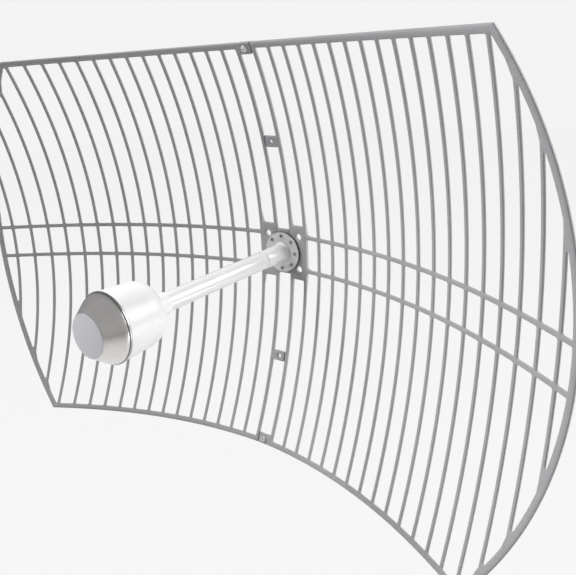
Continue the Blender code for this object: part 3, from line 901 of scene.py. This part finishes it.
# %% [markdown]
# Screws with a cross recess
#
# Eight equal screws on a circle are a job for instances: one screw is modelled, and a small
# tree puts a copy at each point of a circle and turns each by its own random angle, since no
# one stops turning a screw with its cross upright. The seed is fixed, so they stay as they are.

# %% One screw
# The upright share of a head, its rounding, and how much the recess narrows to its bottom
HEAD_WALL = 0.45
HEAD_ROUNDING = 0.12
RECESS_TAPER = (0.7, 0.8)


def cross_loop(reach, half_slot):
    corners = []
    for turn in range(4):
        for along, across in ((half_slot, half_slot), (reach, half_slot), (reach, -half_slot)):
            angle = -turn * math.pi / 2
            corners.append((along * math.cos(angle) - across * math.sin(angle),
                            along * math.sin(angle) + across * math.cos(angle)))
    return corners


def add_screw(work, head, shank, cross):
    """A screw on the Y axis with its head towards -Y and the underside of the head at 0.

    head is its radius, top radius and height; shank its radius and length; cross its reach,
    half slot and depth."""
    radius, top, height = head
    shank_radius, length = shank
    wall = -HEAD_WALL * height
    profile = soften([(length, 0.0), (length, shank_radius), (0.0, shank_radius), (0.0, radius),
                      (wall, radius), (-height, top)], radius * HEAD_ROUNDING)
    rings = add_spin(work, profile, 32, level_axis)
    reach, half_slot, depth = cross
    mouth = [work.verts.new((x, -height, z)) for x, z in cross_loop(reach, half_slot)]
    low_loop = cross_loop(reach * RECESS_TAPER[0], half_slot * RECESS_TAPER[1])
    bottom = [work.verts.new((x, depth - height, z)) for x, z in low_loop]
    join_rings(work, mouth, bottom)
    border = ring_edges(work, rings[-1]) + ring_edges(work, mouth)
    bmesh.ops.triangle_fill(work, use_beauty=True, edges=border)
    bmesh.ops.triangle_fill(work, use_beauty=True, edges=ring_edges(work, bottom))


screw_work = bmesh.new()
add_screw(screw_work, (0.0026, 0.0017, 0.0011), (0.0013, 0.0040), (0.0013, 0.00032, 0.0007))
screw_pattern = finish_piece("Screw_pattern", screw_work, plain_steel)

# %% Eight screws on a circle
def make_screw_tree(values, material):
    board, sizes = new_geometry_tree("Screws on a circle", values)
    counts = {"Vertices": sizes["Count"], "Radius": sizes["Circle radius"]}
    ring = board.node("GeometryNodeMeshCircle", {}, counts)
    x, z, _ = split_position(board)
    ring = place(board, ring, x, sizes["Seat Y"], z + sizes["Centre Z"])
    screw = board.node("GeometryNodeObjectInfo", {}, {"Object": sizes["Screw"]})["Geometry"]
    limits = {"Min": 0.0, "Max": math.pi / 2, "Seed": sizes["Seed"]}
    angle = board.node("FunctionNodeRandomValue", {}, limits)
    axis = {"Axis": (0.0, 1.0, 0.0), "Angle": angle}
    turn = board.node("FunctionNodeAxisAngleToRotation", {}, axis)
    copies = {"Points": ring, "Instance": screw, "Rotation": turn}
    close_tree(board, board.node("GeometryNodeInstanceOnPoints", {}, copies), material)
    return board.tree


screw_values = {"Circle radius": SCREW_CIRCLE, "Centre Z": FEED_Z, "Seat Y": FLANGE_FRONT_Y - GAP,
                "Count": SCREW_COUNT, "Seed": 11, "Screw": screw_pattern}
screws = grow("Flange_screws", make_screw_tree(screw_values, plain_steel), screw_values)
bpy.data.objects.remove(screw_pattern)

# %% [markdown]
# The feed
#
# A collar is welded to the flange, the tube stands in it, and the head sits on the tube's end:
# a domed shoulder, a drum that widens a little, a thin metal rim, and the polished cap with a
# flat disc at its end. All are round about one axis, which droops a little under the weight
# of the head. So each is a profile spun about that axis.

# %% The drooping axis
FEED_DROOP = 0.029
FEED_SIDES = 96


def feed_axis(y):
    return Vector((0.0, y, FEED_Z + FEED_DROOP * min(0.0, y - FLANGE_FRONT_Y)))


def feed_piece(name, points, radius, material):
    return spin_piece(name, points, radius, material, FEED_SIDES, feed_axis)


# %% Collar and tube
COLLAR_BACK_Y = FLANGE_FRONT_Y - GAP
COLLAR_END_Y = -0.055
COLLAR_RADIUS = 0.0136
TUBE_END_Y = -0.2535
TUBE_RADIUS = 0.0132
collar = feed_piece("Feed_collar", [
    (COLLAR_BACK_Y, 0.0154), (COLLAR_BACK_Y - 0.0012, 0.0153),
    (COLLAR_BACK_Y - 0.0034, 0.0139, 0.001), (COLLAR_BACK_Y - 0.0060, COLLAR_RADIUS, 0.001),
    (COLLAR_END_Y + 0.0022, COLLAR_RADIUS, 0.0003), (COLLAR_END_Y + 0.0018, 0.0133, 0.0003),
    (COLLAR_END_Y + 0.0012, COLLAR_RADIUS, 0.0003), (COLLAR_END_Y, COLLAR_RADIUS)],
    0.0006, tube_paint)
tube = feed_piece("Feed_tube", [
    (COLLAR_END_Y - GAP, TUBE_RADIUS), (TUBE_END_Y, TUBE_RADIUS)], 0.0004, tube_paint)

# %% Head of the feed
NECK_END_Y = TUBE_END_Y - 0.0265
SHOULDER_END_Y = -0.312
# The drum and the shoulder read as one moulding, so only a hairline is left between them
DRUM_START_Y = SHOULDER_END_Y - 0.00003
BODY_END_Y = -0.350
HEAD_RIM_FRONT_Y = BODY_END_Y - GAP - 0.0028
CAP_START_Y = HEAD_RIM_FRONT_Y - GAP
FEED_END_Y = -0.3816
CAP_END_Y = FEED_END_Y + 0.0010 + GAP
SHOULDER_RADIUS = 0.0439
HEAD_RIM_RADIUS = 0.0468
END_DISC_RADIUS = 0.0283


def squared_dome(y0, r0, y1, r1, fullness, steps):
    """A quarter curve that leaves y0, r0 outwards and reaches y1, r1 along the axis.

    A fullness of 2 gives a quarter ellipse, and a higher one a squarer corner."""
    points = []
    for turn in [math.pi / 2 * step / steps for step in range(steps + 1)]:
        along = 1 - math.cos(turn) ** (2 / fullness)
        points.append((y0 + (y1 - y0) * along, r0 + (r1 - r0) * math.sin(turn) ** (2 / fullness)))
    return points


shoulder = feed_piece("Head_shoulder", [
    (TUBE_END_Y - GAP, 0.0148), (NECK_END_Y, 0.0164, 0.0030)]
    + squared_dome(NECK_END_Y - 0.0012, 0.0172, SHOULDER_END_Y, SHOULDER_RADIUS, 2.9, 16),
    0.0001, white_plastic)
drum = feed_piece("Head_drum", [
    (DRUM_START_Y, SHOULDER_RADIUS, 0.0001), (BODY_END_Y, 0.0462)], 0.0005, white_plastic)
head_rim = feed_piece("Head_rim", [
    (BODY_END_Y - GAP, HEAD_RIM_RADIUS), (HEAD_RIM_FRONT_Y, HEAD_RIM_RADIUS)], 0.0006, rim_metal)
cap = feed_piece("Head_cap", [
    (CAP_START_Y, 0.0455), (CAP_START_Y - 0.0040, 0.0445, 0.003),
    (CAP_END_Y + 0.0030, 0.0312, 0.003), (CAP_END_Y, 0.0290, 0.0012)], 0.0006, cap_metal)
end_disc = feed_piece("Head_end_disc", [
    (CAP_END_Y - GAP, END_DISC_RADIUS), (FEED_END_Y, END_DISC_RADIUS)], 0.0004, disc_plastic)

# %% [markdown]
# Bolts and nuts of the rims
#
# Two bright bolts clamp the rim tabs. They stand square to the surface, which leans back at
# the top and the bottom, so each is made upright and then turned into place in its mesh.

# %% Rim bolts
RIM_BOLT_RADIUS = 0.0025
NUT_SEAT = TAB_BACK[1] + GAP


def on_surface(z):
    """The turn and the move from the Y axis to the surface on the centre line."""
    turn = Vector((0, 1, 0)).rotation_difference(surface_back(z)).to_matrix().to_4x4()
    return Matrix.Translation(surface_point(z)) @ turn


def add_rim_bolt(work):
    add_screw(work, (0.0046, 0.0034, 0.0030), (RIM_BOLT_RADIUS, 0.0101), (0.0021, 0.0005, 0.0016))
    bmesh.ops.translate(work, vec=(0, -GAP, 0), verts=work.verts)


def add_rim_nut(work):
    hole = circle(0.0, 0.0, RIM_BOLT_RADIUS + GAP, 32)
    add_plate(work, hexagon(0.0, 0.0, 0.0046), [hole], NUT_SEAT, NUT_SEAT + 0.0040, 0.0004)


rim_pieces = {}
for kind, add_shape in (("bolt", add_rim_bolt), ("nut", add_rim_nut)):
    for end, z in (("top", RIM_TAB_Z), ("bottom", -RIM_TAB_Z)):
        node = "rim_%s_%s" % (kind, end)
        work = bmesh.new()
        add_shape(work)
        bmesh.ops.transform(work, matrix=on_surface(z), verts=work.verts)
        rim_pieces[node] = finish_piece(node.capitalize(), work, zinc_plate)

# %% [markdown]
# The inlet
#
# The cable screws on at the back. The photograph does not show this side, so the inlet is the
# usual kind for such a feed: a threaded barrel through a hexagon nut, with a white insulator
# and a centre contact inside. The thread is a real helix, made by a radius that follows both
# the turn and the distance along the barrel.

# %% Threaded barrel and its nut
INLET_Z = -0.0205
INLET_SEAT_Y = BRIDGE_STEP_Y + GAP
INLET_END_Y = 0.0190
INLET_RADIUS = 0.0078
INLET_BORE = 0.0056
BORE_FLOOR_Y = INLET_END_Y - 0.0090
THREAD_PITCH = 0.00106
THREAD_DEPTH = 0.0005
THREAD_START_Y = 0.0040
THREAD_END_Y = 0.0180
THREAD_ROWS = 6


def inlet_axis(y):
    return Vector((0.0, y, INLET_Z))


def threaded(y, radius, turn):
    if radius < INLET_RADIUS - 1e-6 or not THREAD_START_Y < y < THREAD_END_Y:
        return radius
    phase = (y / THREAD_PITCH - turn / math.tau) % 1.0
    return radius - THREAD_DEPTH * (1 - abs(2 * phase - 1))


def make_barrel():
    rows = round((THREAD_END_Y - THREAD_START_Y) / THREAD_PITCH * THREAD_ROWS)
    step = (THREAD_END_Y - THREAD_START_Y) / rows
    profile = [(INLET_SEAT_Y, 0.0), (INLET_SEAT_Y, INLET_RADIUS)]
    profile += [(THREAD_START_Y + step * row, INLET_RADIUS) for row in range(rows + 1)]
    profile += [(INLET_END_Y - 0.0006, INLET_RADIUS), (INLET_END_Y, INLET_RADIUS - 0.0006),
                (INLET_END_Y, INLET_BORE + 0.0003), (INLET_END_Y - 0.0003, INLET_BORE),
                (BORE_FLOOR_Y, INLET_BORE), (BORE_FLOOR_Y, 0.0)]
    work = bmesh.new()
    add_spin(work, profile, 48, inlet_axis, threaded)
    return finish_piece("Inlet_barrel", work, nickel_plate)


def make_inlet_nut():
    work = bmesh.new()
    hole = circle(0.0, INLET_Z, INLET_RADIUS + 2 * GAP, 48)
    outline = hexagon(0.0, INLET_Z, 0.0115, 8)
    add_plate(work, outline, [hole], INLET_SEAT_Y, INLET_SEAT_Y + 0.0030, 0.0004)
    return finish_piece("Inlet_nut", work, nickel_plate)


inlet_barrel = make_barrel()
inlet_nut = make_inlet_nut()

# %% The insulator and the contact inside
CORE_BACK_Y = INLET_END_Y - 0.0092
CONTACT_TIP_Y = INLET_END_Y - 0.0018
CONTACT_HOLE_Y = CONTACT_TIP_Y - 0.0030
insulator = spin_piece("Inlet_insulator", [
    (CORE_BACK_Y, 0.0052), (CORE_BACK_Y + 0.0025, 0.0052)],
    0.0003, white_plastic, 40, inlet_axis)
contact = spin_piece("Inlet_contact", [
    (CORE_BACK_Y, 0.0016), (CONTACT_TIP_Y, 0.0016), (CONTACT_TIP_Y, 0.0008),
    (CONTACT_HOLE_Y, 0.0008)], 0.0002, nickel_plate, 24, inlet_axis)

# %% [markdown]
# The studio
#
# The photograph was lit like most studio shots of products. A large soft key stands high at
# the left, so the bars are brightest at the right and low down, and darkest at the left. A
# second soft lamp behind at the right draws the highlight along the tube and keeps the drum
# white, and a small low one at the right lifts the sides of the bars. The key is not mirrored,
# as the real cap shows no lamp. The cap mirrors the dim front of the room in its upper half
# and the pale floor in its lower half.

# %% Floor, world and light
FLOOR_Z = -0.9
FLOOR_HALF = 8.0
FRONT_LEVEL = 0.40
LEFT_LEVEL = 0.42
BACK_LEVEL = 0.30
# How much the floor glows as seen by the camera, and how bright the walls look to it
FLOOR_GLOW = 0.94
SEEN_LEVEL = 0.90


def make_floor():
    signs = [(-1, -1), (1, -1), (1, 1), (-1, 1)]
    corners = [(x * FLOOR_HALF, y * FLOOR_HALF, FLOOR_Z) for x, y in signs]
    mesh = bpy.data.meshes.new("Studio_floor")
    mesh.from_pydata(corners, [], [(0, 1, 2, 3)])
    constants = {"Base Color": (0.62, 0.62, 0.62, 1.0), "Roughness": 0.9}
    material, board, shader = principled("floor_paint", constants)
    glow = board.node("ShaderNodeEmission", {}, {"Color": (0.93, 0.93, 0.93, 1.0), "Strength": 1.0})
    seen = board.node("ShaderNodeLightPath")["Is Camera Ray"]
    plain = Wire(board, shader.outputs["BSDF"])
    mixed = board.node("ShaderNodeMixShader", {}, {0: seen * FLOOR_GLOW, 1: plain, 2: glow})
    feed(board, material.node_tree.nodes["Material Output"], "Surface", mixed)
    mesh.materials.append(material)
    floor = add_object("Studio_floor", mesh)


def make_world():
    """Walls of three levels that light the dish. Seen directly, they are pale all round."""
    world = bpy.data.worlds.new("Studio")
    scene.world = world
    world.use_nodes = True
    board = Board(world.node_tree)
    direction = board.node("ShaderNodeTexCoord")["Generated"]
    parts = board.node("ShaderNodeSeparateXYZ", {}, {"Vector": direction})
    behind = smooth((parts["Y"] + 0.4).within(0.0, 1.0))
    at_left = smooth(((0 - parts["X"] - 0.2) / 0.7).within(0.0, 1.0))
    walls = FRONT_LEVEL + (LEFT_LEVEL - FRONT_LEVEL) * at_left
    walls = walls + (BACK_LEVEL - walls) * behind
    seen = board.node("ShaderNodeLightPath")["Is Camera Ray"]
    background = world.node_tree.nodes["Background"]
    background.inputs["Color"].default_value = (1.0, 1.0, 1.0, 1.0)
    feed(board, background, "Strength", walls + (SEEN_LEVEL - walls) * seen)


def add_light(name, azimuth, elevation, distance, size, power, mirrored=True):
    """A round lamp that looks at the dish. Azimuth 0 is straight in front, 90 at the right."""
    across = math.radians(azimuth)
    up = math.radians(elevation)
    reach = math.cos(up)
    spot = Vector((math.sin(across) * reach, -math.cos(across) * reach, math.sin(up))) * distance
    data = bpy.data.lights.new(name, "AREA")
    data.shape = "DISK"
    data.size = size
    data.energy = power
    lamp = add_object(name, data)
    lamp.location = spot
    lamp.rotation_euler = (-spot).to_track_quat("-Z", "Y").to_euler()
    lamp.visible_camera = False
    lamp.visible_glossy = mirrored


make_floor()
make_world()
add_light("Key", -60, 46, 3.0, 1.5, 106, mirrored=False)
add_light("Back", 126, 28, 3.0, 2.0, 80)
add_light("Low", 112, -22, 1.8, 1.2, 15)
scene.view_settings.view_transform = "Standard"

# %% [markdown]
# The camera
#
# The camera stands to the right of the dish and above it, and looks down into it past the
# feed. Its place was found from the pixels of bars whose places are known. The picture's
# centre is not on the lens axis, so a small shift keeps the framing.

# %% Camera
IMAGE_WIDTH = 576
IMAGE_HEIGHT = 575
FOCAL_PIXELS = 741.23
AXIS_PIXEL = (186.54, 321.02)
SENSOR_WIDTH = 36.0
CAMERA_PLACE = (0.67872, -0.85823, 0.30413)
CAMERA_RIGHT = Vector((0.70562, 0.70407, -0.07991))
CAMERA_DOWN = Vector((0.19491, -0.30127, -0.93340))
CAMERA_AHEAD = Vector((-0.68125, 0.64306, -0.34982))


def make_camera():
    data = bpy.data.cameras.new("Camera")
    camera = add_object("Camera", data)
    turn = Matrix((CAMERA_RIGHT, -CAMERA_DOWN, -CAMERA_AHEAD)).transposed().to_4x4()
    camera.matrix_world = Matrix.Translation(CAMERA_PLACE) @ turn
    data.sensor_width = SENSOR_WIDTH
    data.lens = FOCAL_PIXELS / IMAGE_WIDTH * SENSOR_WIDTH
    data.shift_x = (IMAGE_WIDTH / 2 - AXIS_PIXEL[0]) / IMAGE_WIDTH
    data.shift_y = (AXIS_PIXEL[1] - IMAGE_HEIGHT / 2) / IMAGE_WIDTH
    scene.camera = camera


make_camera()

# %% [markdown]
# Handing over
#
# Each piece rides on the one body of the part and takes the place of its CAD solid, which
# stays in the model for collision.

# %% Ride, replace and finish
HAND_OVER = [
    (grid_left, "casting", "reflector_left_half"),
    (grid_right, "casting", "reflector_right_half"),
    (tabs_left, "casting", "reflector_left_half"),
    (tabs_right, "casting", "reflector_right_half"),
    (bridge, "casting", "hub_bridge_plate"),
    (gasket, "gasket", "flange_gasket"),
    (flange, "feed_metal", "feed_flange"),
    (screws, "screw", *("flange_screw_%d" % (number + 1) for number in range(SCREW_COUNT))),
    (collar, "feed_metal", "feed_collar"),
    (tube, "feed_metal", "feed_tube"),
    (shoulder, "white_plastic", "feed_head_shoulder"),
    (drum, "white_plastic", "feed_head_body"),
    (head_rim, "grey_plastic", "feed_head_rim"),
    (cap, "grey_plastic", "feed_head_cap"),
    (end_disc, "end_plastic", "feed_end_disc"),
    (inlet_barrel, "bolt", "inlet_connector"),
    (insulator, "white_plastic", "inlet_connector"),
    (contact, "bolt", "inlet_connector"),
    (inlet_nut, "bolt", "inlet_nut"),
]
HAND_OVER += [(piece, "bolt", node) for node, piece in rim_pieces.items()]
for piece, finish, *nodes in HAND_OVER:
    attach(piece, "root")
    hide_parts(*nodes)
print("pieces:", len(HAND_OVER))
